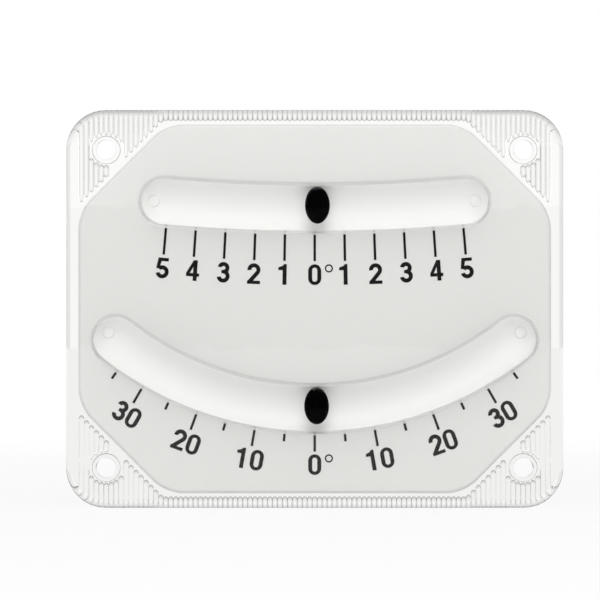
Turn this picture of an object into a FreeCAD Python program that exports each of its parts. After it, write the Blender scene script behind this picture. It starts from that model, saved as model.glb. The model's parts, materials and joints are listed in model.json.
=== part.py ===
import FreeCAD, Part
import math
import os

# Two-range ball inclinometer for a bulkhead or dashboard.
# Millimetres. +X right, +Z up, the face looks along -Y and the back lies on y = 0.
# The origin is the centre of the back face. Both ball tubes are arcs about Y axes above the dial,
# so each ball rolls to the lowest point of its arc and shows the tilt on the scale below it.

Vector = FreeCAD.Vector

# Face plate
plate_width = 100.0
plate_height = 80.0
plate_thickness = 5.0
plate_corner_radius = 8.0
front_edge_radius = 1.6
back_edge_break = 0.3
lens_skin = 1.5              # clear wall in front of the white panel

# Screw holes
screw_edge_distance = 8.0    # hole centre to both nearest edges
screw_hole_diameter = 4.0
boss_diameter = 6.0          # plain ring round each screw hole, where the ribs stop

# Ribs on the back of the clear border
rib_pitch = 1.0
rib_radius = 0.78
rib_height = 0.35
rib_rim = 0.9                # plain rim between the ribs' ends and the panel's pocket

# White panel
panel_side_margin = 2.5
panel_end_margin = 2.9
panel_boss_wall = 1.9        # from a boss to the panel's cut corner
panel_corner_radius = 3.5
panel_clearance = 0.1
bond_line = 0.08             # cement film between the lens and the panel

# Balls and their bores
ball_diameter = 5.0
ball_play = 0.5              # radial room for the ball in its bore
ball_lift = 0.4              # ball centre above the bore's centre line
tube_wall = 2.1
liquid_gap = 0.03

# Upper tube, fine range
upper_arc_radius = 337.8
upper_tube_drop = 19.75      # plate's top edge to the middle of the tube
upper_end_margin = 12.1      # tube's end to the panel's side
upper_reading = 0.09         # degrees shown at rest

# Lower tube, coarse range
lower_arc_radius = 64.3
lower_tube_rise = 19.95      # plate's bottom edge to the middle of the tube
lower_end_margin = 2.45
lower_reading = 0.33

# Filling ports and their plugs
port_diameter = 1.2
port_past_end = 1.1          # port axis past the centre of the tube's end cap
plug_clearance = 0.02
plug_recess = 0.2
plug_head_diameter = 2.4
plug_head_thickness = 0.7

# Printing
ink_thickness = 0.05
tick_width = 0.5
upper_tick_step = 1
upper_tick_length = 5.45
lower_major_step = 10
lower_major_length = 3.4
lower_minor_length = 1.6
upper_tick_gap = 0.1         # tube's edge to the start of a tick
lower_tick_gap = 0.15
numeral_width = 2.62
numeral_height = 4.15
numeral_stem = 0.8           # thickness of upright strokes
numeral_bar = 0.66           # thickness of level strokes
numeral_pitch = 2.97         # from digit to digit in a two-digit number
upper_numeral_gap = 0.65     # tick's end to the top of a number
lower_numeral_gap = 0.55
degree_diameter = 1.65
degree_stroke = 0.28
degree_shift = 2.85          # degree ring's centre to the right of the 0
degree_drop = 0.82           # degree ring's centre below the top of the 0

overcut = 1.0                # how far a cutter runs past the face it cuts

# Worked out from the sizes above
plate_front = -plate_thickness
pocket_floor = plate_front + lens_skin
panel_front = pocket_floor + bond_line
panel_half_width = plate_width / 2 - panel_side_margin
panel_half_height = plate_height / 2 - panel_end_margin
screw_x = plate_width / 2 - screw_edge_distance
screw_z = plate_height / 2 - screw_edge_distance
ball_radius = ball_diameter / 2
bore_radius = ball_radius + ball_play
dome_radius = bore_radius + tube_wall

FRONT = Vector(0, -1, 0)
AXIS_Y = Vector(0, 1, 0)


class Tube:
    """A ball tube: a round bore bent about a Y axis that lies above it."""

    def __init__(self, arc_radius, middle_z, end_margin):
        self.arc_radius = arc_radius
        self.centre = Vector(0, plate_front, middle_z + arc_radius)
        half_span = panel_half_width - end_margin - dome_radius
        self.half_angle = math.degrees(math.asin(half_span / arc_radius))

    def point(self, angle, radius=None):
        """Point at an angle from the lowest point, positive towards +X."""
        reach = self.arc_radius if radius is None else radius
        turn = math.radians(angle)
        return self.centre + Vector(reach * math.sin(turn), 0, -reach * math.cos(turn))

    def solid(self, radius):
        """The bent round bar with ball ends that the bore, the liquid and the window are cut from."""
        disc = Part.Face(Part.Wire(Part.makeCircle(radius, self.point(0), Vector(1, 0, 0))))
        disc.rotate(self.centre, AXIS_Y, self.half_angle)
        bar = disc.revolve(self.centre, AXIS_Y, -2 * self.half_angle)
        for side in (-1, 1):
            turn = math.radians(self.half_angle)
            outward = Vector(side * math.cos(turn), 0, math.sin(turn))
            end = self.point(side * self.half_angle)
            bar = bar.fuse(Part.makeSphere(radius, end, outward, 0, 90, 360))
        return bar

    def port_point(self, side):
        """Where a filling port's axis meets the tube, beyond the centre of the end cap."""
        past = math.degrees(port_past_end / self.arc_radius)
        return self.point(side * (self.half_angle + past))


upper_tube = Tube(upper_arc_radius, plate_height / 2 - upper_tube_drop, upper_end_margin)
lower_tube = Tube(lower_arc_radius, lower_tube_rise - plate_height / 2, lower_end_margin)
tubes = {"upper": upper_tube, "lower": lower_tube}
readings = {"upper": upper_reading, "lower": lower_reading}


def block(x0, x1, y0, y1, z0, z1):
    return Part.makeBox(x1 - x0, y1 - y0, z1 - z0, Vector(x0, y0, z0))


def peg(x, z, diameter, y_front, y_back):
    """A round bar along Y."""
    return Part.makeCylinder(diameter / 2, y_back - y_front, Vector(x, y_front, z), AXIS_Y)


def joined(shapes):
    first, rest = shapes[0], shapes[1:]
    return first.fuse(rest).removeSplitter() if rest else first


def edges_along_y(solid):
    return [edge for edge in solid.Edges if abs(abs(edge.tangentAt(edge.FirstParameter).y) - 1) < 1e-6]


def edges_on(solid, y):
    return [edge for edge in solid.Edges if all(abs(v.Y - y) < 1e-6 for v in edge.Vertexes)]


def rounded_slab(width, height, corner, y_front, y_back):
    slab = block(-width / 2, width / 2, y_front, y_back, -height / 2, height / 2)
    return slab.makeFillet(corner, edges_along_y(slab))


def panel_slab(inset, y_front, y_back):
    """The eight-sided panel outline, drawn in by an inset, between two planes."""
    half_width = panel_half_width - inset
    half_height = panel_half_height - inset
    boss_reach = math.sqrt(2) * (boss_diameter / 2 + panel_boss_wall + inset)
    cut = half_width + half_height - (screw_x + screw_z - boss_reach)
    corners = []
    for x, z in ((1, 1), (-1, 1), (-1, -1), (1, -1)):
        side = Vector(x * half_width, y_front, z * (half_height - cut))
        end = Vector(x * (half_width - cut), y_front, z * half_height)
        corners += [side, end] if x == z else [end, side]
    outline = Part.Face(Part.makePolygon(corners + corners[:1]))
    slab = outline.extrude(Vector(0, y_back - y_front, 0))
    return slab.makeFillet(panel_corner_radius - inset, edges_along_y(slab))


def screw_points():
    return [(x * screw_x, z * screw_z) for x in (-1, 1) for z in (-1, 1)]


def rib_stretches():
    """Each rib's x and the two ends of its middle line: over the border, clear of the pocket and the bosses."""
    foot = math.sqrt(rib_radius ** 2 - (rib_radius - rib_height) ** 2)
    clear = rib_rim + foot
    cut_corner = screw_x + screw_z - math.sqrt(2) * (boss_diameter / 2 + panel_boss_wall - clear)
    keep_off = boss_diameter / 2 + foot
    outer = plate_height / 2 + rib_radius
    count = int(panel_half_width / rib_pitch)
    for step in range(-count, count + 1):
        x = step * rib_pitch
        ends = [min(panel_half_height + clear, cut_corner - abs(x)), outer]
        off_axis = abs(abs(x) - screw_x)
        if off_axis < keep_off:
            reach = math.sqrt(keep_off ** 2 - off_axis ** 2)
            ends[1:1] = [screw_z - reach, screw_z + reach]
        for low, high in zip(ends[::2], ends[1::2]):
            if high - low > rib_radius / 2:
                yield x, low, high
                yield x, -high, -low


def rib(x, low, high):
    """An upright round bar with ball ends that touches the back plane."""
    bar = Part.makeCylinder(rib_radius, high - low, Vector(x, -rib_radius, low))
    return bar.fuse([Part.makeSphere(rib_radius, Vector(x, -rib_radius, z)) for z in (low, high)])


def between_ribs():
    """What is taken off the back of the border, down to the feet of the ribs."""
    layer = block(-plate_width, plate_width, -rib_height, overcut, -plate_height, plate_height)
    return layer.cut([rib(*stretch) for stretch in rib_stretches()])


def front_lens():
    plate = rounded_slab(plate_width, plate_height, plate_corner_radius, plate_front, 0)
    plate = plate.makeFillet(front_edge_radius, edges_on(plate, plate_front))
    plate = plate.makeChamfer(back_edge_break, edges_on(plate, 0))
    proud = plate_front - dome_radius - overcut
    in_front = block(-plate_width, plate_width, proud, plate_front, -plate_height, plate_height)
    windows = [tube.solid(dome_radius).common(in_front) for tube in tubes.values()]
    plate = joined([plate] + windows)
    plate = plate.cut([tube.solid(bore_radius) for tube in tubes.values()])
    plate = plate.cut(panel_slab(0, pocket_floor, overcut))
    far_front = plate_front - overcut
    plate = plate.cut([peg(x, z, screw_hole_diameter, far_front, overcut) for x, z in screw_points()])
    return plate.cut(between_ribs())


def back_plate():
    panel = panel_slab(panel_clearance, panel_front, 0)
    cuts = [tube.solid(bore_radius) for tube in tubes.values()]
    for tube in tubes.values():
        for side in (-1, 1):
            at = tube.port_point(side)
            cuts.append(peg(at.x, at.z, port_diameter, plate_front, overcut))
            cuts.append(peg(at.x, at.z, plug_head_diameter, -plug_head_thickness, overcut))
    return panel.cut(cuts)


def ball(name, clearance=0):
    tube = tubes[name]
    return Part.makeSphere(ball_radius + clearance, tube.point(readings[name], tube.arc_radius - ball_lift))


def damping_liquid(name):
    """The liquid fills the bore round the ball at rest."""
    return tubes[name].solid(bore_radius - liquid_gap).cut(ball(name, liquid_gap))


def filler_plug(name, side):
    """A headed plug, pushed in from the back until its head is flush."""
    at = tubes[name].port_point(side)
    trough_floor = plate_front + bore_radius
    tip = trough_floor + plug_recess
    shank = peg(at.x, at.z, port_diameter - 2 * plug_clearance, tip, 0)
    head = peg(at.x, at.z, plug_head_diameter - 2 * plug_clearance, plug_clearance - plug_head_thickness, 0)
    return joined([shank, head])


# Printing. Marks are drawn flat in the plane of the panel's front, x across and z up, then thickened.
# A digit's strokes are placed by shares of its height and width, about the digit's own centre.

def thick(face):
    return face.extrude(FRONT * ink_thickness)


def flat(x, z):
    return Vector(x, panel_front, z)


def shape_of(points):
    corners = [flat(x, z) for x, z in points]
    return thick(Part.Face(Part.makePolygon(corners + corners[:1])))


def level_bar(left, right, bottom, top):
    return shape_of([(left, bottom), (right, bottom), (right, top), (left, top)])


def bowl(x, z, radius, stroke, start, end):
    """A round stroke about (x, z), from one angle to another, anticlockwise as read."""
    def at(reach, angle):
        turn = math.radians(angle)
        return flat(x + reach * math.cos(turn), z + reach * math.sin(turn))

    middle = (start + end) / 2
    inner = radius - stroke
    edges = [
        Part.Arc(at(radius, start), at(radius, middle), at(radius, end)).toShape(),
        Part.makeLine(at(radius, end), at(inner, end)),
        Part.Arc(at(inner, end), at(inner, middle), at(inner, start)).toShape(),
        Part.makeLine(at(inner, start), at(radius, start)),
    ]
    return thick(Part.Face(Part.Wire(edges)))


def long_round(width, height):
    """An upright oval with straight sides and round ends."""
    half = width / 2
    straight = height / 2 - half
    edges = [
        Part.Arc(flat(half, straight), flat(0, height / 2), flat(-half, straight)).toShape(),
        Part.makeLine(flat(-half, straight), flat(-half, -straight)),
        Part.Arc(flat(-half, -straight), flat(0, -height / 2), flat(half, -straight)).toShape(),
        Part.makeLine(flat(half, -straight), flat(half, straight)),
    ]
    return thick(Part.Face(Part.Wire(edges)))


def loop(z, radius, stroke):
    """A round ring about (0, z)."""
    outer = Part.Wire(Part.makeCircle(radius, flat(0, z), FRONT))
    inner = Part.Wire(Part.makeCircle(radius - stroke, flat(0, z), FRONT))
    return thick(Part.Face(outer)).cut(thick(Part.Face(inner)))


def digit_0():
    inner = long_round(numeral_width - 2 * numeral_stem, numeral_height - 2 * numeral_bar)
    return long_round(numeral_width, numeral_height).cut(inner)


def digit_1():
    top = numeral_height / 2
    right = 0.18 * numeral_width
    left = right - numeral_stem
    flag = left - 0.33 * numeral_width
    flag_bottom = top - 1.85 * numeral_bar
    return shape_of([
        (right, -top), (right, top), (right - 0.7 * numeral_stem, top), (left, top - 0.55 * numeral_bar),
        (flag, top - numeral_bar), (flag, flag_bottom), (left, flag_bottom), (left, -top),
    ])


def digit_2():
    top = numeral_height / 2
    half = numeral_width / 2
    turn_z = top - half
    bend = math.radians(-40)
    line = half - numeral_stem / 2
    start_x = line * math.cos(bend)
    start_z = turn_z + line * math.sin(bend)
    fall = start_z - (numeral_bar / 2 - top)
    end_x = start_x + fall * math.sin(bend) / math.cos(bend)
    across_x = numeral_stem / 2 * math.cos(bend)
    across_z = numeral_stem / 2 * math.sin(bend)
    neck = shape_of([
        (start_x + across_x, start_z + across_z), (start_x - across_x, start_z - across_z),
        (end_x - across_x, start_z - fall - across_z), (end_x + across_x, start_z - fall + across_z),
    ])
    foot = level_bar(-half, half, -top, numeral_bar - top)
    return joined([bowl(0, turn_z, half, numeral_stem, -40, 185), neck, foot])


def digit_3():
    top = numeral_height / 2
    lower = numeral_width / 2
    upper = 0.9 * lower
    waist_top = 2 * lower - top - 0.12 * numeral_bar
    waist_bottom = top - 2 * upper + 0.12 * numeral_bar
    return joined([
        bowl(0, top - upper, upper, numeral_stem, -90, 170),
        bowl(0, lower - top, lower, numeral_stem, -170, 90),
        level_bar(-0.15 * numeral_width, 0, waist_bottom, waist_top),
    ])


def digit_4():
    top = numeral_height / 2
    half = numeral_width / 2
    right = 0.33 * numeral_width
    left = right - numeral_stem
    bar_bottom = 0.21 * numeral_height - top
    bar_top = bar_bottom + numeral_bar
    window_top = top - 1.7 * numeral_stem
    outline = shape_of([
        (right, -top), (right, bar_bottom), (half, bar_bottom), (half, bar_top), (right, bar_top),
        (right, top), (left, top), (-half, bar_top), (-half, bar_bottom), (left, bar_bottom), (left, -top),
    ])
    window = shape_of([(left, bar_top), (left, window_top), (0.9 * numeral_stem - half, bar_top)])
    return outline.cut(window)


def digit_5():
    top = numeral_height / 2
    half = numeral_width / 2
    shelf = 0.03 * numeral_height
    return joined([
        bowl(0, half - top, half, numeral_stem, -168, 140),
        level_bar(-0.33 * numeral_width, 0.43 * numeral_width, top - numeral_bar, top),
        shape_of([
            (-0.36 * numeral_width, top), (-0.48 * numeral_width, -shelf), (-0.24 * numeral_width, -shelf),
            (-0.1 * numeral_width, top - numeral_bar), (-0.1 * numeral_width, top),
        ]),
    ])


def digit_6():
    top = numeral_height / 2
    half = numeral_width / 2
    mouth = level_bar(0, half, half - top, top - 1.8 * numeral_bar)
    return joined([digit_0().cut(mouth), loop(half - top, half, numeral_stem)])


def digit_7():
    top = numeral_height / 2
    half = numeral_width / 2
    foot = -0.3 * numeral_width
    neck_top = top - numeral_bar
    neck = shape_of([
        (half, neck_top), (foot + numeral_stem, -top), (foot, -top), (half - numeral_stem, neck_top),
    ])
    return joined([level_bar(-half, half, neck_top, top), neck])


def digit_8():
    top = numeral_height / 2
    lower = numeral_width / 2
    upper = 0.9 * lower
    return joined([loop(top - upper, upper, numeral_stem), loop(lower - top, lower, numeral_stem)])


def digit_9():
    turned = digit_6()
    turned.rotate(flat(0, 0), AXIS_Y, 180)
    return turned


DIGITS = [digit_0, digit_1, digit_2, digit_3, digit_4, digit_5, digit_6, digit_7, digit_8, digit_9]


def placed_on(tube, angle, radius, mark):
    """A mark drawn about (0, 0), moved below the tube and turned to stand along its radius."""
    mark.translate(Vector(0, 0, tube.centre.z - radius))
    mark.rotate(Vector(0, 0, tube.centre.z), AXIS_Y, -angle)
    return mark


def tick(tube, angle, gap, length):
    start = tube.arc_radius + dome_radius + gap
    bar = level_bar(-tick_width / 2, tick_width / 2, -length / 2, length / 2)
    return placed_on(tube, angle, start + length / 2, bar)


def number(tube, angle, radius):
    text = str(round(abs(angle)))
    digits = []
    for place, figure in enumerate(text):
        mark = DIGITS[int(figure)]()
        mark.translate(Vector((place - (len(text) - 1) / 2) * numeral_pitch, 0, 0))
        digits.append(placed_on(tube, angle, radius, mark))
    return digits


def degree_ring(tube, radius):
    ring = loop(numeral_height / 2 - degree_drop, degree_diameter / 2, degree_stroke)
    ring.translate(Vector(degree_shift, 0, 0))
    return placed_on(tube, 0, radius, ring)


def angles(tube, step):
    """Every multiple of a step that the tube reaches, both ways from 0."""
    last = int(tube.half_angle / step)
    return [count * step for count in range(-last, last + 1)]


def number_radius(tube, tick_gap, tick_length, number_gap):
    return tube.arc_radius + dome_radius + tick_gap + tick_length + number_gap + numeral_height / 2


def scales():
    """The printed nodes of both scales."""
    minor_step = lower_major_step / 2
    major = angles(lower_tube, lower_major_step)
    minor = [angle for angle in angles(lower_tube, minor_step) if angle not in major]
    upper_radius = number_radius(upper_tube, upper_tick_gap, upper_tick_length, upper_numeral_gap)
    lower_radius = number_radius(lower_tube, lower_tick_gap, lower_major_length, lower_numeral_gap)
    fine = angles(upper_tube, upper_tick_step)
    upper_numbers = [digit for angle in fine for digit in number(upper_tube, angle, upper_radius)]
    lower_numbers = [digit for angle in major for digit in number(lower_tube, angle, lower_radius)]
    return {
        "upper_scale_ticks": [tick(upper_tube, a, upper_tick_gap, upper_tick_length) for a in fine],
        "upper_scale_numerals": upper_numbers,
        "upper_degree_ring": [degree_ring(upper_tube, upper_radius)],
        "lower_major_ticks": [tick(lower_tube, a, lower_tick_gap, lower_major_length) for a in major],
        "lower_minor_ticks": [tick(lower_tube, a, lower_tick_gap, lower_minor_length) for a in minor],
        "lower_scale_numerals": lower_numbers,
        "lower_degree_ring": [degree_ring(lower_tube, lower_radius)],
    }


def nodes():
    made = {"front_lens": front_lens(), "back_plate": back_plate()}
    for name in tubes:
        made[f"{name}_ball"] = ball(name)
        made[f"{name}_damping_liquid"] = damping_liquid(name)
        made[f"{name}_left_filler_plug"] = filler_plug(name, -1)
        made[f"{name}_right_filler_plug"] = filler_plug(name, 1)
    for name, marks in scales().items():
        made[name] = Part.makeCompound(marks) if len(marks) > 1 else marks[0]
    return made


os.makedirs("parts", exist_ok=True)
for node, shape in nodes().items():
    shape.exportStep(f"parts/{node}.step")
    print(node, len(shape.Solids), "solid(s)", round(shape.Volume, 3), "mm3", shape.isValid())
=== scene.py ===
"""Dresses a two-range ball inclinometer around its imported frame, and lights it in a plain white studio."""
import json
import math

import bmesh
import bpy
from bpy.props import FloatProperty, FloatVectorProperty, IntProperty, PointerProperty
from bpy.types import Operator, Panel, PropertyGroup
from mathutils import Matrix, Vector


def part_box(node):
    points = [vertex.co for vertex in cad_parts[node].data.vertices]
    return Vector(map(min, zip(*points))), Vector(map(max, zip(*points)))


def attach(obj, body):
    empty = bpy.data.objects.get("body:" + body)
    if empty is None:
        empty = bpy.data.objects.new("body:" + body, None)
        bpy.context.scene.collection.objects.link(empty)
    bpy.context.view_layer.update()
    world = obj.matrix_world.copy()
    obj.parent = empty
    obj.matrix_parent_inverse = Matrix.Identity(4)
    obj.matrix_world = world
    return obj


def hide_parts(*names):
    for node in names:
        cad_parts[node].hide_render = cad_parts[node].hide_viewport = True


bl_info = {
    "name": "Ball Inclinometer",
    "version": (1, 0, 0),
    "blender": (4, 5, 0),
    "location": "3D View > Sidebar > Inclinometer",
    "description": "Clear lens, white panel, balls, printing and studio of a two-range ball inclinometer",
    "category": "Object",
}

MM = 0.001
TOUCHING = MM / 1000            # corners nearer than this are in one place
PAST = MM                       # how far a tool goes past the face that it cuts, or into what it joins
CREASE = 1                      # radian: faces that meet at more than this make a corner
FRONT = Vector((0, -1, 0))      # the face looks along -Y
ALONG_X = Matrix.Rotation(math.pi / 2, 4, "Y")      # turns a shape that stands along Z
ALONG_Y = Matrix.Rotation(math.pi / 2, 4, "X")
CASING = "casing"
SIDES = (-1, 1)
ENDS = ("left", "right")

# Faces across each round
CORNER_FACES = 16
FRONT_EDGE_FACES = 12
PANEL_CORNER_FACES = 8
PANEL_EDGE_FACES = 6
ROOT_FACES = 4
BOSS_EDGE_FACES = 4
PLUG_EDGE_FACES = 3
PEG_FACES = 64
LEAST_BENDS = 24                # of a tube from end to end
BENDS_PER_DEGREE = 2
RIB_FACES = 24
RIB_RINGS = 13

# Shares of a size
BLANK = 1.1                     # the block that the lens is cut from, beside the plate
RIB_ROOT = 1.3                  # how deep the ribs are let into the plate, beside their height
BOSS_RADIUS = 0.48              # beside the boss diameter, so that the ribs' ends stay clear of the bosses
BOSS_SHORT = 0.05               # how far the bosses stay below the ribs, beside the ribs' height

# Light
FLOW_MARKS = 0.985              # whiteness of a white moulding's flow marks, beside the rest of it
BORE_LIGHT = 0.35               # share of the light that gets into the bore
ROUND_BALL = 0.97               # share of the light that the tube bends round the ball
GLASS_GLOW = 0.3                # the least that a ray sees that was thrown back inside the glass
MIRRORINGS = 2                  # a ray mirrored more often than this is caught in the glass
WHITE = (1, 1, 1, 1)

# Studio, in metres
KEY_PLACE = (0.1, -0.7, 1.0)
FRONT_PLACE = (-0.1, -1.1, 0.42)
SOFTBOX = (1.2, 0.8)
MIRRORED_SOFTBOX = (0, 0.447, 0.894)    # where gloss sees a softbox: behind the object and above it
TABLE_RADIUS = 3
TABLE_FACES = 64

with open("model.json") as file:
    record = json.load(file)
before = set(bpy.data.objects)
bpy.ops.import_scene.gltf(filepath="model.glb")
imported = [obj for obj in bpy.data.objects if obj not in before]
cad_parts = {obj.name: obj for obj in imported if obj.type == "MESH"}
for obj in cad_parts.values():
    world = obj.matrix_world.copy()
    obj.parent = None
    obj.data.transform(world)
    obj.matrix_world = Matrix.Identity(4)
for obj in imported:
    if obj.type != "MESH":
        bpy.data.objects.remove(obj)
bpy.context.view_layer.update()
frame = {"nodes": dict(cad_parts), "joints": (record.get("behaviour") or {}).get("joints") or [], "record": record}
lens_low, lens_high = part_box("front_lens")
panel_low, panel_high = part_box("back_plate")
screws = next(mount["dims"] for mount in frame["record"]["mounts"] if mount["name"] == "screw_holes")
roll_joints = {joint["child"]: joint for joint in frame["joints"]}


class Tube:
    """A ball tube: its middle line is an arc about a Y axis, the axis that its ball rolls about."""

    def __init__(self, name):
        self.centre = Vector(roll_joints[f"{name}_ball"]["pos_m"])
        low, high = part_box(f"{name}_damping_liquid")
        self.liquid_radius = self.centre.y - low.y
        self.arc_radius = self.centre.z - low.z - self.liquid_radius
        self.half_angle = math.asin((high.x - self.liquid_radius) / self.arc_radius)

    def turned(self, angle):
        """The turn that takes the tube's lowest point to an angle along it, positive towards +X."""
        return (Matrix.Translation(self.centre) @ Matrix.Rotation(angle, 4, FRONT)
                @ Matrix.Translation(-self.centre))

    def lowest(self):
        return self.centre - Vector((0, 0, self.arc_radius))


tubes = {"upper": Tube("upper"), "lower": Tube("lower")}
plate_front = tubes["upper"].centre.y


def length(name, description, millimetres):
    return FloatProperty(name=name, description=description, default=millimetres * MM, min=0,
                         precision=5, unit="LENGTH", subtype="DISTANCE")


def linear(code):
    """An sRGB hex colour as the linear colour that shaders take."""
    parts = [int(code[i:i + 2], 16) / 255 for i in (0, 2, 4)]
    return [part / 12.92 if part <= 0.04045 else ((part + 0.055) / 1.055) ** 2.4 for part in parts]


def colour(name, description, code):
    return FloatVectorProperty(name=name, description=description, default=linear(code), min=0, max=1,
                               size=3, subtype="COLOR")


class LensSizes(PropertyGroup):
    """Sizes of the clear lens."""
    corner_radius: length("Corner radius", "Radius of the plate's four corners", 8)
    front_edge_radius: length("Front edge radius", "Roll of the edge round the face", 1.6)
    back_edge_break: length("Back edge break", "Chamfer of the edge round the back", 0.3)
    skin: length("Skin", "Clear wall in front of the white panel", 1.5)
    root_fillet: length("Root fillet", "Radius where the windows rise out of the face", 0.3)
    bore_gap: length("Bore gap", "Room between the liquid and the bore", 0.03)
    boss_diameter: length("Boss diameter", "Round each screw hole, where the ribs stop", 6)
    boss_roll: length("Boss roll", "Roll of the bosses' edges", 0.25)
    rib_pitch: length("Rib pitch", "From one rib of the back to the next", 1)
    rib_radius: length("Rib radius", "Radius of the ribs' round backs and ends", 0.7)
    rib_height: length("Rib height", "How far the ribs stand out of the border's back", 0.35)
    rib_rim: length("Rib rim", "Plain rim between the ribs' ends and the panel's pocket", 0.7)
    rib_runout: FloatProperty(name="Rib run-out", description="Length of the ribs' ends beside their radius",
                              default=1.6, min=1)
    smoothness: IntProperty(name="Smoothness", description="Faces round a tube", default=96, min=16)


class PanelSizes(PropertyGroup):
    """Sizes of the white panel and its plugs."""
    gap: length("Gap", "Room round the panel in its pocket", 0.1)
    cut: length("Cut corners", "Length of the cut corners along the panel's sides", 17.47)
    corner_radius: length("Corner radius", "Radius of the panel's eight corners", 3.4)
    edge_roll: length("Edge roll", "Roll of the panel's edges", 0.6)
    port_diameter: length("Port diameter", "Bore of the filling ports", 1.2)
    head_seat: length("Head seat", "Diameter of the sinkings for the plug heads", 2.4)
    head_thickness: length("Head thickness", "Depth of the sinkings for the plug heads", 0.7)
    plug_gap: length("Plug gap", "Room round the plugs", 0.01)
    plug_recess: length("Plug recess", "How far the plugs stop short of the bores", 0.04)
    plug_roll: length("Plug roll", "Roll of the plugs' edges", 0.06)
    dimple_depth: length("Dimple depth", "Depth of the dimple in the back of each plug", 0.15)


class Finishes(PropertyGroup):
    """Colours of the materials."""
    panel: colour("Panel", "Moulded white of the panel", "E7E7E5")
    # Troughs: the panel's white made lighter. This is painted light for what the windows' lens focuses into them
    trough: colour("Troughs", "White of the troughs behind the balls, lightened as painted lens light", "F4F4F2")
    # Plugs: lightened the same way. This is painted light on their faces, which sit in the lit troughs
    plug: colour("Plugs", "White of the plugs, lightened as painted lens light", "F4F4F2")
    ink: colour("Ink", "Printing ink", "0B0B0C")
    steel: colour("Balls", "Blackened steel", "020203")


class StageSizes(PropertyGroup):
    """Sizes of the studio."""
    view_width: length("View width", "What the camera takes in at the plate", 120.5)
    view_distance: length("View distance", "From the camera to the plate's face", 900)
    view_left: length("View left", "The camera's place to the left of the plate's middle", 2.96)
    view_up: length("View up", "The camera's place above the plate's middle", 1.78)
    key_power: FloatProperty(name="Key light", description="Power of the softbox above", default=4.6,
                             min=0, unit="POWER")
    front_power: FloatProperty(name="Front light", description="Power of the softbox in front", default=3.1,
                               min=0, unit="POWER")
    fill: FloatProperty(name="Fill", description="Strength of the light from all round", default=0.618, min=0)


# Shading nodes

def add(tree, kind, inputs=None, **settings):
    """Adds a node, with its settings, and its inputs as values or as other nodes' outputs."""
    node = tree.nodes.new(kind)
    for key, value in settings.items():
        setattr(node, key, value)
    for key, value in (inputs or {}).items():
        if isinstance(value, bpy.types.NodeSocket):
            tree.links.new(value, node.inputs[key])
        else:
            node.inputs[key].default_value = value
    return node


def new_material(name):
    material = bpy.data.materials.new(name)
    material.use_nodes = True
    material.node_tree.nodes.clear()
    return material, material.node_tree


def show(tree, shader, kind="ShaderNodeOutputMaterial"):
    add(tree, kind, {"Surface": shader.outputs[0]})


def noise(tree, grain, detail=2.0):
    """Noise with grains of a real size, in metres."""
    place = add(tree, "ShaderNodeTexCoord").outputs["Object"]
    return add(tree, "ShaderNodeTexNoise", {"Vector": place, "Scale": 1 / grain, "Detail": detail})


def either(tree, *rays):
    """1 where the ray is one of these kinds, otherwise 0."""
    path = add(tree, "ShaderNodeLightPath")
    found = path.outputs[rays[0]]
    for ray in rays[1:]:
        found = add(tree, "ShaderNodeMath", {0: found, 1: path.outputs[ray]}, operation="MAXIMUM").outputs[0]
    return found


def oftener(tree, depth, times):
    """1 where the ray was thrown back or let through more often than this, otherwise 0."""
    path = add(tree, "ShaderNodeLightPath")
    return add(tree, "ShaderNodeMath", {0: path.outputs[depth], 1: times + 0.5},
               operation="GREATER_THAN").outputs[0]


def rgba(values):
    return (*values, 1)


def clear_mix(tree, glass):
    """Lets light through unbent, which spares the panel bright flecks, and frees rays caught in the glass."""
    through = add(tree, "ShaderNodeBsdfTransparent")
    light = either(tree, "Is Shadow Ray", "Is Diffuse Ray")
    caught = oftener(tree, "Glossy Depth", MIRRORINGS)
    unbent = add(tree, "ShaderNodeMath", {0: light, 1: caught}, operation="MAXIMUM").outputs[0]
    return add(tree, "ShaderNodeMixShader", {0: unbent, 1: glass.outputs[0], 2: through.outputs[0]})


def moulded_acrylic():
    """PMMA from a polished mould: water-clear, with a faint waviness where it flowed."""
    material, tree = new_material("moulded acrylic")
    flow = noise(tree, grain=6 * MM)
    wave = add(tree, "ShaderNodeBump", {"Height": flow.outputs["Fac"], "Distance": 0.004 * MM, "Strength": 1})
    glass = add(tree, "ShaderNodeBsdfPrincipled", {
        "Base Color": rgba(linear("FEFEFD")), "Roughness": 0.0, "IOR": 1.49, "Transmission Weight": 1,
        "Normal": wave.outputs[0],
    })
    show(tree, clear_mix(tree, glass))
    return material


def wetted_acrylic():
    """Acrylic wetted by oil of its own index: clear to look through, while the bore keeps out some light."""
    material, tree = new_material("wetted acrylic")
    inward = add(tree, "ShaderNodeNewGeometry").outputs["Backfacing"]
    light = add(tree, "ShaderNodeMath", {0: inward, 1: either(tree, "Is Shadow Ray", "Is Diffuse Ray")},
                operation="MULTIPLY")
    clear = add(tree, "ShaderNodeBsdfTransparent")
    dimmed = add(tree, "ShaderNodeBsdfTransparent", {"Color": rgba([BORE_LIGHT] * 3)})
    wall = add(tree, "ShaderNodeMixShader", {0: light.outputs[0], 1: clear.outputs[0], 2: dimmed.outputs[0]})
    show(tree, wall)
    return material


def damping_oil():
    """Clear silicone oil inside acrylic of the same index: seen from the acrylic it bends nothing."""
    material, tree = new_material("damping oil")
    oil = add(tree, "ShaderNodeBsdfPrincipled", {
        "Base Color": WHITE, "Roughness": 0.0, "IOR": 1.0, "Transmission Weight": 1,
    })
    show(tree, clear_mix(tree, oil))
    return material


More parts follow.
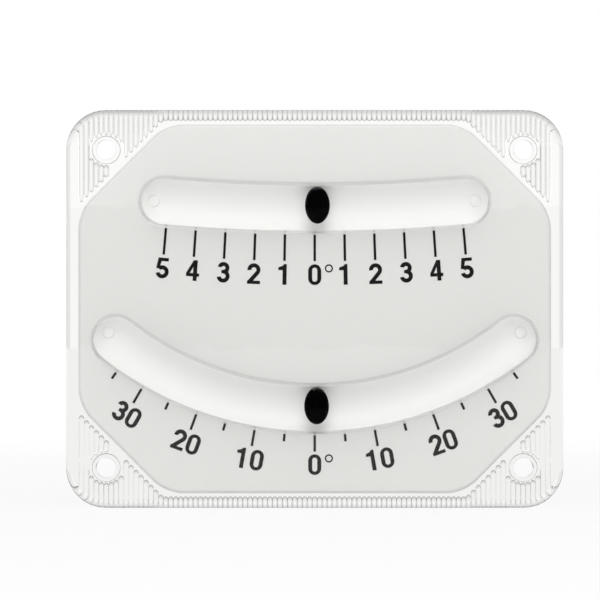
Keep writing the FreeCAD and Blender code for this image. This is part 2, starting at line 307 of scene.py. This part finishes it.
def moulded_white(name, tint, grain):
    """White ABS from a fine-spark mould: satin, with the mould's grain and slight flow marks in the white."""
    material, tree = new_material(name)
    flow = noise(tree, grain=14 * MM)
    white = add(tree, "ShaderNodeMix", {
        "Factor": flow.outputs["Fac"], "A": rgba([FLOW_MARKS * part for part in tint]), "B": rgba(tint),
    }, data_type="RGBA")
    texture = noise(tree, grain)
    bump = add(tree, "ShaderNodeBump", {
        "Height": texture.outputs["Fac"], "Distance": 0.01 * MM, "Strength": 0.3,
    })
    plastic = add(tree, "ShaderNodeBsdfPrincipled", {
        "Base Color": white.outputs["Result"], "Roughness": 0.45, "IOR": 1.52, "Normal": bump.outputs[0],
    })
    show(tree, plastic)
    return material


def screen_ink(tint):
    """Screen-printed black ink under cement: no gloss of its own, with the weave of the screen left in it."""
    material, tree = new_material("screen-printed ink")
    weave = noise(tree, grain=0.12 * MM)
    bump = add(tree, "ShaderNodeBump", {
        "Height": weave.outputs["Fac"], "Distance": 0.005 * MM, "Strength": 0.4,
    })
    film = add(tree, "ShaderNodeBsdfPrincipled", {
        "Base Color": rgba(tint), "Roughness": 0.5, "IOR": 1.05, "Normal": bump.outputs[0],
    })
    show(tree, film)
    return material


def blackened_steel(tint):
    """Black-oxided bearing steel in oil, which takes the gloss off it. The tube bends light round it."""
    material, tree = new_material("blackened bearing steel")
    lapping = noise(tree, grain=0.3 * MM)
    rough = add(tree, "ShaderNodeMapRange", {
        "Value": lapping.outputs["Fac"], "From Min": 0.3, "From Max": 0.7, "To Min": 0.16, "To Max": 0.26,
    })
    steel = add(tree, "ShaderNodeBsdfPrincipled", {
        "Base Color": rgba(tint), "Roughness": rough.outputs[0], "IOR": 1.04,
    })
    around = add(tree, "ShaderNodeBsdfTransparent", {"Color": rgba([ROUND_BALL] * 3)})
    light = either(tree, "Is Shadow Ray", "Is Diffuse Ray")
    show(tree, add(tree, "ShaderNodeMixShader", {0: light, 1: steel.outputs[0], 2: around.outputs[0]}))
    return material


# Shapes

def new_piece(name, shape, materials):
    """Makes an object at the origin of a bmesh."""
    mesh = bpy.data.meshes.new(name)
    shape.to_mesh(mesh)
    shape.free()
    for material in materials:
        mesh.materials.append(material)
    piece = bpy.data.objects.new(name, mesh)
    bpy.context.scene.collection.objects.link(piece)
    return piece


def carve(piece, tool, operation="DIFFERENCE"):
    """Cuts a piece with a tool, or joins the tool to it, and removes the tool."""
    boolean = piece.modifiers.new(tool.name, "BOOLEAN")
    boolean.object = tool
    boolean.operation = operation
    boolean.solver = "EXACT"
    boolean.material_mode = "TRANSFER"
    carved = bpy.data.meshes.new_from_object(piece.evaluated_get(bpy.context.evaluated_depsgraph_get()))
    piece.modifiers.remove(boolean)
    piece.data = carved
    bpy.data.objects.remove(tool)
    if not carved.polygons:
        raise RuntimeError(f"{piece.name} lost its faces")


def smooth(piece, angle=30):
    """Shades the rounds smoothly, keeps the corners, and keeps the flats flat."""
    mesh = piece.data
    mesh.polygons.foreach_set("use_smooth", [True] * len(mesh.polygons))
    mesh.set_sharp_from_angle(angle=math.radians(angle))
    weighted = piece.modifiers.new("flat faces stay flat", "WEIGHTED_NORMAL")
    weighted.mode = "FACE_AREA"
    weighted.weight = 100
    weighted.keep_sharp = True


def roll(shape, edges, radius, faces):
    bmesh.ops.bevel(shape, geom=edges, offset=radius, offset_type="OFFSET", segments=faces, profile=0.5,
                    affect="EDGES", material=-1)


def edges_along_y(shape):
    return [edge for edge in shape.edges if abs(edge.verts[0].co.y - edge.verts[1].co.y) > TOUCHING]


def edges_at(shape, y):
    return [edge for edge in shape.edges if all(abs(vert.co.y - y) < TOUCHING for vert in edge.verts)]


def everything(shape):
    return shape.verts[:] + shape.edges[:] + shape.faces[:]


def verts_in(items):
    return [item for item in items if isinstance(item, bmesh.types.BMVert)]


def close(shape):
    """Closes what a cut left open, and turns the faces outwards."""
    bmesh.ops.holes_fill(shape, edges=[edge for edge in shape.edges if edge.is_boundary], sides=0)
    bmesh.ops.recalc_face_normals(shape, faces=shape.faces)


def slab(outline, y_front, y_back):
    """A closed slab between two planes, from the corners of its outline."""
    shape = bmesh.new()
    face = shape.faces.new([shape.verts.new((x, y_front, z)) for x, z in outline])
    sides = bmesh.ops.extrude_face_region(shape, geom=[face], use_keep_orig=True)
    bmesh.ops.translate(shape, verts=verts_in(sides["geom"]), vec=(0, y_back - y_front, 0))
    bmesh.ops.recalc_face_normals(shape, faces=shape.faces)
    return shape


def plate(sizes):
    """The plate's rounded outline, with its front edge rolled and its back edge broken."""
    x, z = lens_high.x, lens_high.z
    shape = slab([(-x, -z), (x, -z), (x, z), (-x, z)], plate_front, 0)
    roll(shape, edges_along_y(shape), sizes.corner_radius, CORNER_FACES)
    roll(shape, edges_at(shape, 0), sizes.back_edge_break, 1)
    roll(shape, edges_at(shape, plate_front), sizes.front_edge_radius, FRONT_EDGE_FACES)
    return shape


def panel_outline(sizes, grow=0):
    """The panel's eight corners, with the outline moved out by a gap."""
    x, z = panel_high.x + grow, panel_high.z + grow
    cut = sizes.cut + (2 - math.sqrt(2)) * grow
    return [(x, z - cut), (x - cut, z), (cut - x, z), (-x, z - cut),
            (-x, cut - z), (cut - x, -z), (x - cut, -z), (x, cut - z)]


def bar(tube, radius, around):
    """A round bar with ball ends along a tube's middle line."""
    shape = bmesh.new()
    start = tube.turned(-tube.half_angle) @ Matrix.Translation(tube.lowest()) @ ALONG_X
    ring = bmesh.ops.create_circle(shape, segments=around, radius=radius, matrix=start)
    edges = list({edge for vert in ring["verts"] for edge in vert.link_edges})
    steps = max(LEAST_BENDS, round(BENDS_PER_DEGREE * math.degrees(tube.half_angle)))
    bmesh.ops.spin(shape, geom=ring["verts"] + edges, cent=tube.centre, axis=FRONT,
                   angle=2 * tube.half_angle, steps=steps, use_merge=False)
    for side in SIDES:
        turn = tube.turned(side * tube.half_angle)
        end = turn @ tube.lowest()
        outward = turn.to_3x3() @ Vector((side, 0, 0))
        cap = bmesh.ops.create_uvsphere(shape, u_segments=around, v_segments=around // 2, radius=radius,
                                        matrix=turn @ Matrix.Translation(tube.lowest()) @ ALONG_X)
        inner = [vert for vert in cap["verts"] if (vert.co - end).dot(outward) < -TOUCHING]
        bmesh.ops.delete(shape, geom=inner, context="VERTS")
    bmesh.ops.remove_doubles(shape, verts=shape.verts, dist=TOUCHING)
    bmesh.ops.recalc_face_normals(shape, faces=shape.faces)
    return shape


def window(tube, radius, around, root):
    """The half-round window over a tube, with a root that goes into the plate."""
    shape = bar(tube, radius, around)
    bmesh.ops.bisect_plane(shape, geom=everything(shape), dist=TOUCHING, plane_co=tube.centre,
                           plane_no=-FRONT, clear_outer=True)
    rim = [edge for edge in shape.edges if edge.is_boundary]
    sides = bmesh.ops.extrude_edge_only(shape, edges=rim)
    bmesh.ops.translate(shape, verts=verts_in(sides["geom"]), vec=(0, root, 0))
    close(shape)
    return shape


def peg(x, z, diameter, y_front, y_back):
    """A round bar along Y."""
    shape = bmesh.new()
    middle = Matrix.Translation((x, (y_front + y_back) / 2, z)) @ ALONG_Y
    bmesh.ops.create_cone(shape, cap_ends=True, segments=PEG_FACES, radius1=diameter / 2,
                          radius2=diameter / 2, depth=y_back - y_front, matrix=middle)
    return shape


def fill_root(piece, radius):
    """Rounds the corner between the face and the windows."""
    shape = bmesh.new()
    shape.from_mesh(piece.data)
    root = [edge for edge in edges_at(shape, plate_front)
            if edge.is_manifold and edge.calc_face_angle_signed() < -CREASE]
    roll(shape, root, radius, ROOT_FACES)
    shape.to_mesh(piece.data)
    shape.free()


def screw_points():
    x, z = screws["spacing_x_mm"] * MM / 2, screws["spacing_y_mm"] * MM / 2
    return [(x * a, z * b) for a in SIDES for b in SIDES]


def rib_stretches(sizes, panel):
    """The ribs' centre lines as x and both ends in z: over the border, clear of the pocket and the bosses."""
    tip = sizes.rib_runout * math.sqrt(sizes.rib_radius ** 2 - (sizes.rib_radius - sizes.rib_height) ** 2)
    grow = panel.gap + sizes.rib_rim + tip
    outer = lens_high.z + 2 * sizes.rib_radius
    side, top = panel_outline(panel, grow)[:2]
    count = int(panel_high.x / sizes.rib_pitch)
    keep_off = sizes.boss_diameter / 2 + tip
    for step in range(-count, count + 1):
        x = step * sizes.rib_pitch
        inner = min(top[1], side[1] + side[0] - abs(x))
        gaps = []
        for hole_x, hole_z in screw_points():
            if hole_z > 0 and abs(x - hole_x) < keep_off:
                reach = math.sqrt(keep_off ** 2 - (x - hole_x) ** 2)
                gaps = [(hole_z - reach, hole_z + reach)]
        ends = [inner] + [z for gap in gaps for z in gap] + [outer]
        for low, high in zip(ends[::2], ends[1::2]):
            if high > low:
                yield x, low, high
                yield x, -high, -low


def ribs(sizes, stretches):
    """Half-round ribs with run-out ends, let into the plate. Each is a ball's cap that is drawn out in z."""
    shape = bmesh.new()
    bmesh.ops.create_uvsphere(shape, u_segments=RIB_FACES, v_segments=RIB_RINGS, radius=sizes.rib_radius,
                              matrix=Matrix.Translation((0, -sizes.rib_radius, 0)))
    bmesh.ops.bisect_plane(shape, geom=everything(shape), dist=TOUCHING, plane_no=FRONT, clear_outer=True,
                           plane_co=(0, -RIB_ROOT * sizes.rib_height, 0))
    close(shape)
    bmesh.ops.scale(shape, verts=shape.verts, vec=(1, 1, sizes.rib_runout))
    cap = everything(shape)
    for x, low, high in stretches:
        for vert in verts_in(bmesh.ops.duplicate(shape, geom=cap)["geom"]):
            vert.co += Vector((x, 0, high if vert.co.z > 0 else low))
    bmesh.ops.delete(shape, geom=verts_in(cap), context="VERTS")
    return shape


def bosses(sizes):
    """A round boss behind each screw hole, a hair lower than the ribs."""
    shape = bmesh.new()
    for x, z in screw_points():
        middle = Matrix.Translation((x, -sizes.rib_height, z)) @ ALONG_Y
        radius = BOSS_RADIUS * sizes.boss_diameter
        bmesh.ops.create_cone(shape, cap_ends=True, segments=sizes.smoothness, radius1=radius, radius2=radius,
                              depth=2 * (1 - BOSS_SHORT) * sizes.rib_height, matrix=middle)
    roll(shape, edges_at(shape, -BOSS_SHORT * sizes.rib_height), sizes.boss_roll, BOSS_EDGE_FACES)
    return shape


class INCLINOMETER_OT_front_lens(Operator):
    """Models the clear lens: plate, windows, bores, pocket, screw holes and ribbed border"""
    bl_idname = "inclinometer.front_lens"
    bl_label = "Front lens"

    def execute(self, context):
        sizes, panel = context.scene.lens_sizes, context.scene.panel_sizes
        around = sizes.smoothness
        acrylic, wetted = moulded_acrylic(), wetted_acrylic()
        x, z = BLANK * lens_high.x, BLANK * lens_high.z
        blank = slab([(-x, -z), (x, -z), (x, z), (-x, z)], plate_front - PAST, -sizes.rib_height)
        lens = new_piece("front_lens_moulding", blank, [acrylic, wetted])
        stretches = sorted(rib_stretches(sizes, panel))
        columns = sorted({stretch[0] for stretch in stretches})
        for first in (0, 1):
            # Neighbouring ribs overlap, so every other one is joined at a time
            chosen = columns[first::2]
            tool = ribs(sizes, [stretch for stretch in stretches if stretch[0] in chosen])
            carve(lens, new_piece("ribs", tool, [acrylic]), "UNION")
        carve(lens, new_piece("bosses", bosses(sizes), [acrylic]), "UNION")
        carve(lens, new_piece("plate", plate(sizes), [acrylic]), "INTERSECT")
        window_radius = plate_front - lens_low.y
        for tube in tubes.values():
            carve(lens, new_piece("window", window(tube, window_radius, around, PAST), [acrylic]), "UNION")
        fill_root(lens, sizes.root_fillet)
        for tube in tubes.values():
            bore = tube.liquid_radius + sizes.bore_gap
            carve(lens, new_piece("bore", bar(tube, bore, around), [wetted]))
        pocket = slab(panel_outline(panel, panel.gap), plate_front + sizes.skin, PAST)
        roll(pocket, edges_along_y(pocket), panel.corner_radius + panel.gap, PANEL_CORNER_FACES)
        carve(lens, new_piece("pocket", pocket, [acrylic]))
        for x, z in screw_points():
            hole = peg(x, z, 2 * screws["hole_r_mm"] * MM, plate_front - PAST, PAST)
            carve(lens, new_piece("hole", hole, [acrylic]))
        smooth(lens)
        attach(lens, CASING)
        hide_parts("front_lens")
        return {"FINISHED"}


def port_place(name, side):
    """The axis of a filling port, as x and z."""
    low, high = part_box(f"{name}_{side}_filler_plug")
    return (low.x + high.x) / 2, (low.z + high.z) / 2


class INCLINOMETER_OT_panel(Operator):
    """Models the white panel with its two troughs and four filling ports"""
    bl_idname = "inclinometer.panel"
    bl_label = "White panel"

    def execute(self, context):
        sizes, lens = context.scene.panel_sizes, context.scene.lens_sizes
        white = moulded_white("moulded white ABS", context.scene.finishes.panel, 0.25 * MM)
        # The troughs' lighter white is painted light. It stands in for the light that the windows focus on them
        trough = moulded_white("trough white with painted lens light", context.scene.finishes.trough, 0.25 * MM)
        shape = slab(panel_outline(sizes), panel_low.y, 0)
        roll(shape, edges_along_y(shape), sizes.corner_radius, PANEL_CORNER_FACES)
        roll(shape, edges_at(shape, panel_low.y) + edges_at(shape, 0), sizes.edge_roll, PANEL_EDGE_FACES)
        panel = new_piece("panel_moulding", shape, [white, trough])
        for name, tube in tubes.items():
            bore = tube.liquid_radius + lens.bore_gap
            carve(panel, new_piece("bore", bar(tube, bore, lens.smoothness), [trough]))
            for side in ENDS:
                x, z = port_place(name, side)
                port = peg(x, z, sizes.port_diameter, plate_front, PAST)
                carve(panel, new_piece("port", port, [white]))
                seat = peg(x, z, sizes.head_seat, -sizes.head_thickness, PAST)
                carve(panel, new_piece("seat", seat, [white]))
        smooth(panel)
        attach(panel, CASING)
        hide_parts("back_plate")
        return {"FINISHED"}


def bore_back(tube, x, z):
    """How far back a tube's bore reaches at a port, which is past the end of its middle line."""
    end = tube.turned(math.copysign(tube.half_angle, x)) @ tube.lowest()
    beyond = math.hypot(x - end.x, z - end.z)
    return plate_front + math.sqrt(tube.liquid_radius ** 2 - beyond ** 2)


def plug(name, side, sizes):
    """A filler plug: a head in its sinking and a stem up the port, with rolled edges and a dimpled back."""
    x, z = port_place(name, side)
    head = sizes.head_seat / 2 - sizes.plug_gap
    stem = sizes.port_diameter / 2 - sizes.plug_gap
    tip = bore_back(tubes[name], x, z) + sizes.plug_recess
    shape = peg(x, z, 2 * head, -sizes.head_thickness, 0)
    ends = [face for face in shape.faces if len(face.verts) == PEG_FACES]
    front, back = sorted(ends, key=lambda face: face.calc_center_median().y)
    bmesh.ops.inset_region(shape, faces=[back], thickness=head / 2)
    bmesh.ops.translate(shape, verts=back.verts, vec=(0, -sizes.dimple_depth, 0))
    bmesh.ops.inset_region(shape, faces=[front], thickness=head - stem)
    stretched = bmesh.ops.extrude_discrete_faces(shape, faces=[front])["faces"][0]
    bmesh.ops.translate(shape, verts=stretched.verts, vec=(0, tip + sizes.head_thickness, 0))
    rim = [edge for edge in edges_at(shape, 0) if edge.calc_face_angle() > CREASE]
    roll(shape, rim + edges_at(shape, tip), sizes.plug_roll, PLUG_EDGE_FACES)
    bmesh.ops.recalc_face_normals(shape, faces=shape.faces)
    return shape


class INCLINOMETER_OT_plugs(Operator):
    """Models the four plugs of the filling ports"""
    bl_idname = "inclinometer.plugs"
    bl_label = "Filler plugs"

    def execute(self, context):
        sizes = context.scene.panel_sizes
        # The plugs' lighter white is painted light, so that their faces match the lit troughs round them
        white = moulded_white("plug white with painted lens light", context.scene.finishes.plug, 0.2 * MM)
        for name in tubes:
            for side in ENDS:
                shape = plug(name, side, sizes)
                moulding = new_piece(f"{name}_{side}_plug_moulding", shape, [white])
                smooth(moulding)
                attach(moulding, CASING)
                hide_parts(f"{name}_{side}_filler_plug")
        return {"FINISHED"}


def dress(node, material):
    """Gives a node of the frame its finish."""
    mesh = frame["nodes"][node].data
    mesh.materials.clear()
    mesh.materials.append(material)


class INCLINOMETER_OT_fillings(Operator):
    """Finishes the balls and the liquids"""
    bl_idname = "inclinometer.fillings"
    bl_label = "Balls and liquids"

    def execute(self, context):
        finishes = context.scene.finishes
        steel, oil = blackened_steel(finishes.steel), damping_oil()
        for name in tubes:
            dress(f"{name}_ball", steel)
            dress(f"{name}_damping_liquid", oil)
        return {"FINISHED"}


class INCLINOMETER_OT_printing(Operator):
    """Inks the printed scales"""
    bl_idname = "inclinometer.printing"
    bl_label = "Printed scales"

    def execute(self, context):
        ink = screen_ink(context.scene.finishes.ink)
        printed = [row["node"] for row in frame["record"]["subparts"] if row["material_slot"] == "black_ink"]
        for node in printed:
            dress(node, ink)
        return {"FINISHED"}


def glow_in_glass(tree):
    """The least that a ray sees which was thrown back inside the glass: the glass round it lights it up."""
    inside = oftener(tree, "Transmission Depth", 0)
    return add(tree, "ShaderNodeMath", {0: inside, 1: GLASS_GLOW}, operation="MULTIPLY").outputs[0]


def studio_world(fill):
    """White to the eye, a shade darker through glass, and to gloss a dim room with a softbox and backdrop."""
    world = bpy.data.worlds.new("studio")
    world.use_nodes = True
    tree = world.node_tree
    tree.nodes.clear()
    way = add(tree, "ShaderNodeTexCoord").outputs["Generated"]
    parts = add(tree, "ShaderNodeSeparateXYZ", {0: way})
    towards = add(tree, "ShaderNodeVectorMath", {0: way, 1: MIRRORED_SOFTBOX}, operation="DOT_PRODUCT")
    overhead = add(tree, "ShaderNodeMapRange", {
        "Value": towards.outputs["Value"], "From Min": 0.88, "From Max": 0.98, "To Min": 0.02, "To Max": 0.9,
    }, interpolation_type="SMOOTHSTEP")
    backdrop = add(tree, "ShaderNodeMapRange", {
        "Value": parts.outputs["Y"], "From Min": 0.6, "From Max": 0.95, "To Min": 0.0, "To Max": 0.9,
    }, interpolation_type="SMOOTHSTEP")
    lights = add(tree, "ShaderNodeMath", {0: overhead.outputs[0], 1: backdrop.outputs[0]},
                 operation="MAXIMUM")
    mirrored = add(tree, "ShaderNodeMath", {0: lights.outputs[0], 1: glow_in_glass(tree)},
                   operation="MAXIMUM")
    straight = add(tree, "ShaderNodeMapRange", {
        "Value": parts.outputs["Y"], "From Min": 0.965, "From Max": 0.995, "To Min": 0.84, "To Max": 1.0,
    }, interpolation_type="SMOOTHSTEP")
    above = add(tree, "ShaderNodeMapRange", {
        "Value": parts.outputs["Z"], "From Min": 0.3, "From Max": 0.8, "To Min": 1.0, "To Max": 0.45,
    }, interpolation_type="SMOOTHSTEP")
    through = add(tree, "ShaderNodeMath", {0: straight.outputs[0], 1: above.outputs[0]},
                  operation="MULTIPLY")
    by_glass = add(tree, "ShaderNodeMix", {
        "Factor": oftener(tree, "Glossy Depth", 0), "A": through.outputs[0], "B": mirrored.outputs[0],
    }, data_type="FLOAT")
    seen = add(tree, "ShaderNodeBackground", {"Color": WHITE, "Strength": 1})
    in_glass = add(tree, "ShaderNodeBackground", {"Color": WHITE, "Strength": by_glass.outputs[0]})
    lit = add(tree, "ShaderNodeBackground", {"Color": WHITE, "Strength": fill})
    glass = either(tree, "Is Glossy Ray", "Is Transmission Ray")
    lit_or_glass = add(tree, "ShaderNodeMixShader", {0: glass, 1: lit.outputs[0], 2: in_glass.outputs[0]})
    camera = either(tree, "Is Camera Ray")
    shader = add(tree, "ShaderNodeMixShader", {0: camera, 1: lit_or_glass.outputs[0], 2: seen.outputs[0]})
    show(tree, shader, "ShaderNodeOutputWorld")
    bpy.context.scene.world = world


def studio_floor():
    """A white table top that keeps the object's shadow, and fades into the white round it."""
    material, tree = new_material("white table top")
    paper = add(tree, "ShaderNodeBsdfDiffuse", {"Color": rgba(linear("F4F4F4"))})
    place = add(tree, "ShaderNodeTexCoord").outputs["Object"]
    reach = add(tree, "ShaderNodeVectorMath", {0: place}, operation="LENGTH").outputs["Value"]
    fade = add(tree, "ShaderNodeMapRange", {
        "Value": reach, "From Min": 0.1, "From Max": 0.5, "To Min": 0.8, "To Max": 1.0,
    }, interpolation_type="SMOOTHSTEP")
    glow = add(tree, "ShaderNodeEmission", {"Color": WHITE, "Strength": 1})
    seen = add(tree, "ShaderNodeMixShader", {0: fade.outputs[0], 1: paper.outputs[0], 2: glow.outputs[0]})
    steep = add(tree, "ShaderNodeLayerWeight", {"Blend": 0.5}).outputs["Facing"]
    dim = add(tree, "ShaderNodeMapRange", {
        "Value": steep, "From Min": 0.2, "From Max": 0.95, "To Min": 0.25, "To Max": 0.92,
    })
    sheen = add(tree, "ShaderNodeEmission", {"Color": WHITE, "Strength": dim.outputs[0]})
    behind = add(tree, "ShaderNodeMapRange", {
        "Value": add(tree, "ShaderNodeSeparateXYZ", {0: place}).outputs["Y"],
        "From Min": 0.05, "From Max": 0.3, "To Min": 0.06, "To Max": 0.9,
    })
    mirrored = add(tree, "ShaderNodeMath", {0: behind.outputs[0], 1: glow_in_glass(tree)},
                   operation="MAXIMUM")
    dusk = add(tree, "ShaderNodeEmission", {"Color": WHITE, "Strength": mirrored.outputs[0]})
    shader = paper
    for ray, look in (("Is Glossy Ray", dusk), ("Is Transmission Ray", sheen), ("Is Camera Ray", seen)):
        kind = either(tree, ray)
        shader = add(tree, "ShaderNodeMixShader", {0: kind, 1: shader.outputs[0], 2: look.outputs[0]})
    show(tree, shader)
    shape = bmesh.new()
    bmesh.ops.create_circle(shape, cap_ends=True, segments=TABLE_FACES, radius=TABLE_RADIUS,
                            matrix=Matrix.Translation((0, 0, lens_low.z)))
    floor = new_piece("table_top", shape, [material])


def softbox(name, place, power):
    """A softbox that looks at the object, and that neither the camera nor the gloss sees."""
    lamp = bpy.data.lights.new(name, "AREA")
    lamp.shape = "RECTANGLE"
    lamp.size, lamp.size_y = SOFTBOX
    lamp.energy = power
    light = bpy.data.objects.new(name, lamp)
    light.location = place
    light.rotation_euler = (-Vector(place)).to_track_quat("-Z", "Y").to_euler()
    bpy.context.scene.collection.objects.link(light)
    light.visible_camera = False
    light.visible_glossy = False


class INCLINOMETER_OT_studio(Operator):
    """Sets the floor, the lights and the camera"""
    bl_idname = "inclinometer.studio"
    bl_label = "Studio"

    def execute(self, context):
        sizes = context.scene.stage_sizes
        studio_world(sizes.fill)
        studio_floor()
        softbox("key", KEY_PLACE, sizes.key_power)
        softbox("front", FRONT_PLACE, sizes.front_power)
        camera = bpy.data.cameras.new("camera")
        camera.sensor_fit = "HORIZONTAL"
        camera.lens = camera.sensor_width * sizes.view_distance / sizes.view_width
        camera.clip_end = 20
        view = bpy.data.objects.new("camera", camera)
        view.location = (-sizes.view_left, plate_front - sizes.view_distance, sizes.view_up)
        view.rotation_euler = (math.pi / 2, 0, 0)
        context.scene.collection.objects.link(view)
        context.scene.camera = view
        context.scene.view_settings.view_transform = "Standard"
        return {"FINISHED"}


class INCLINOMETER_PT_sidebar(Panel):
    """Lists the steps in their order"""
    bl_label = "Inclinometer"
    bl_space_type = "VIEW_3D"
    bl_region_type = "UI"
    bl_category = "Inclinometer"

    def draw(self, context):
        for step in STEPS:
            self.layout.operator(step.bl_idname)
        for name, group in GROUPS:
            box = self.layout.box()
            for key in group.__annotations__:
                box.prop(getattr(context.scene, name), key)


STEPS = (INCLINOMETER_OT_front_lens, INCLINOMETER_OT_panel, INCLINOMETER_OT_plugs, INCLINOMETER_OT_fillings,
         INCLINOMETER_OT_printing, INCLINOMETER_OT_studio)
GROUPS = (("lens_sizes", LensSizes), ("panel_sizes", PanelSizes), ("finishes", Finishes),
          ("stage_sizes", StageSizes))


def register():
    for name, group in GROUPS:
        bpy.utils.register_class(group)
        setattr(bpy.types.Scene, name, PointerProperty(type=group))
    for step in STEPS:
        bpy.utils.register_class(step)
    bpy.utils.register_class(INCLINOMETER_PT_sidebar)


def unregister():
    bpy.utils.unregister_class(INCLINOMETER_PT_sidebar)
    for step in reversed(STEPS):
        bpy.utils.unregister_class(step)
    for name, group in reversed(GROUPS):
        delattr(bpy.types.Scene, name)
        bpy.utils.unregister_class(group)


def main():
    register()
    bpy.ops.inclinometer.front_lens()
    bpy.ops.inclinometer.panel()
    bpy.ops.inclinometer.plugs()
    bpy.ops.inclinometer.fillings()
    bpy.ops.inclinometer.printing()
    bpy.ops.inclinometer.studio()


if __name__ == "__main__":
    main()
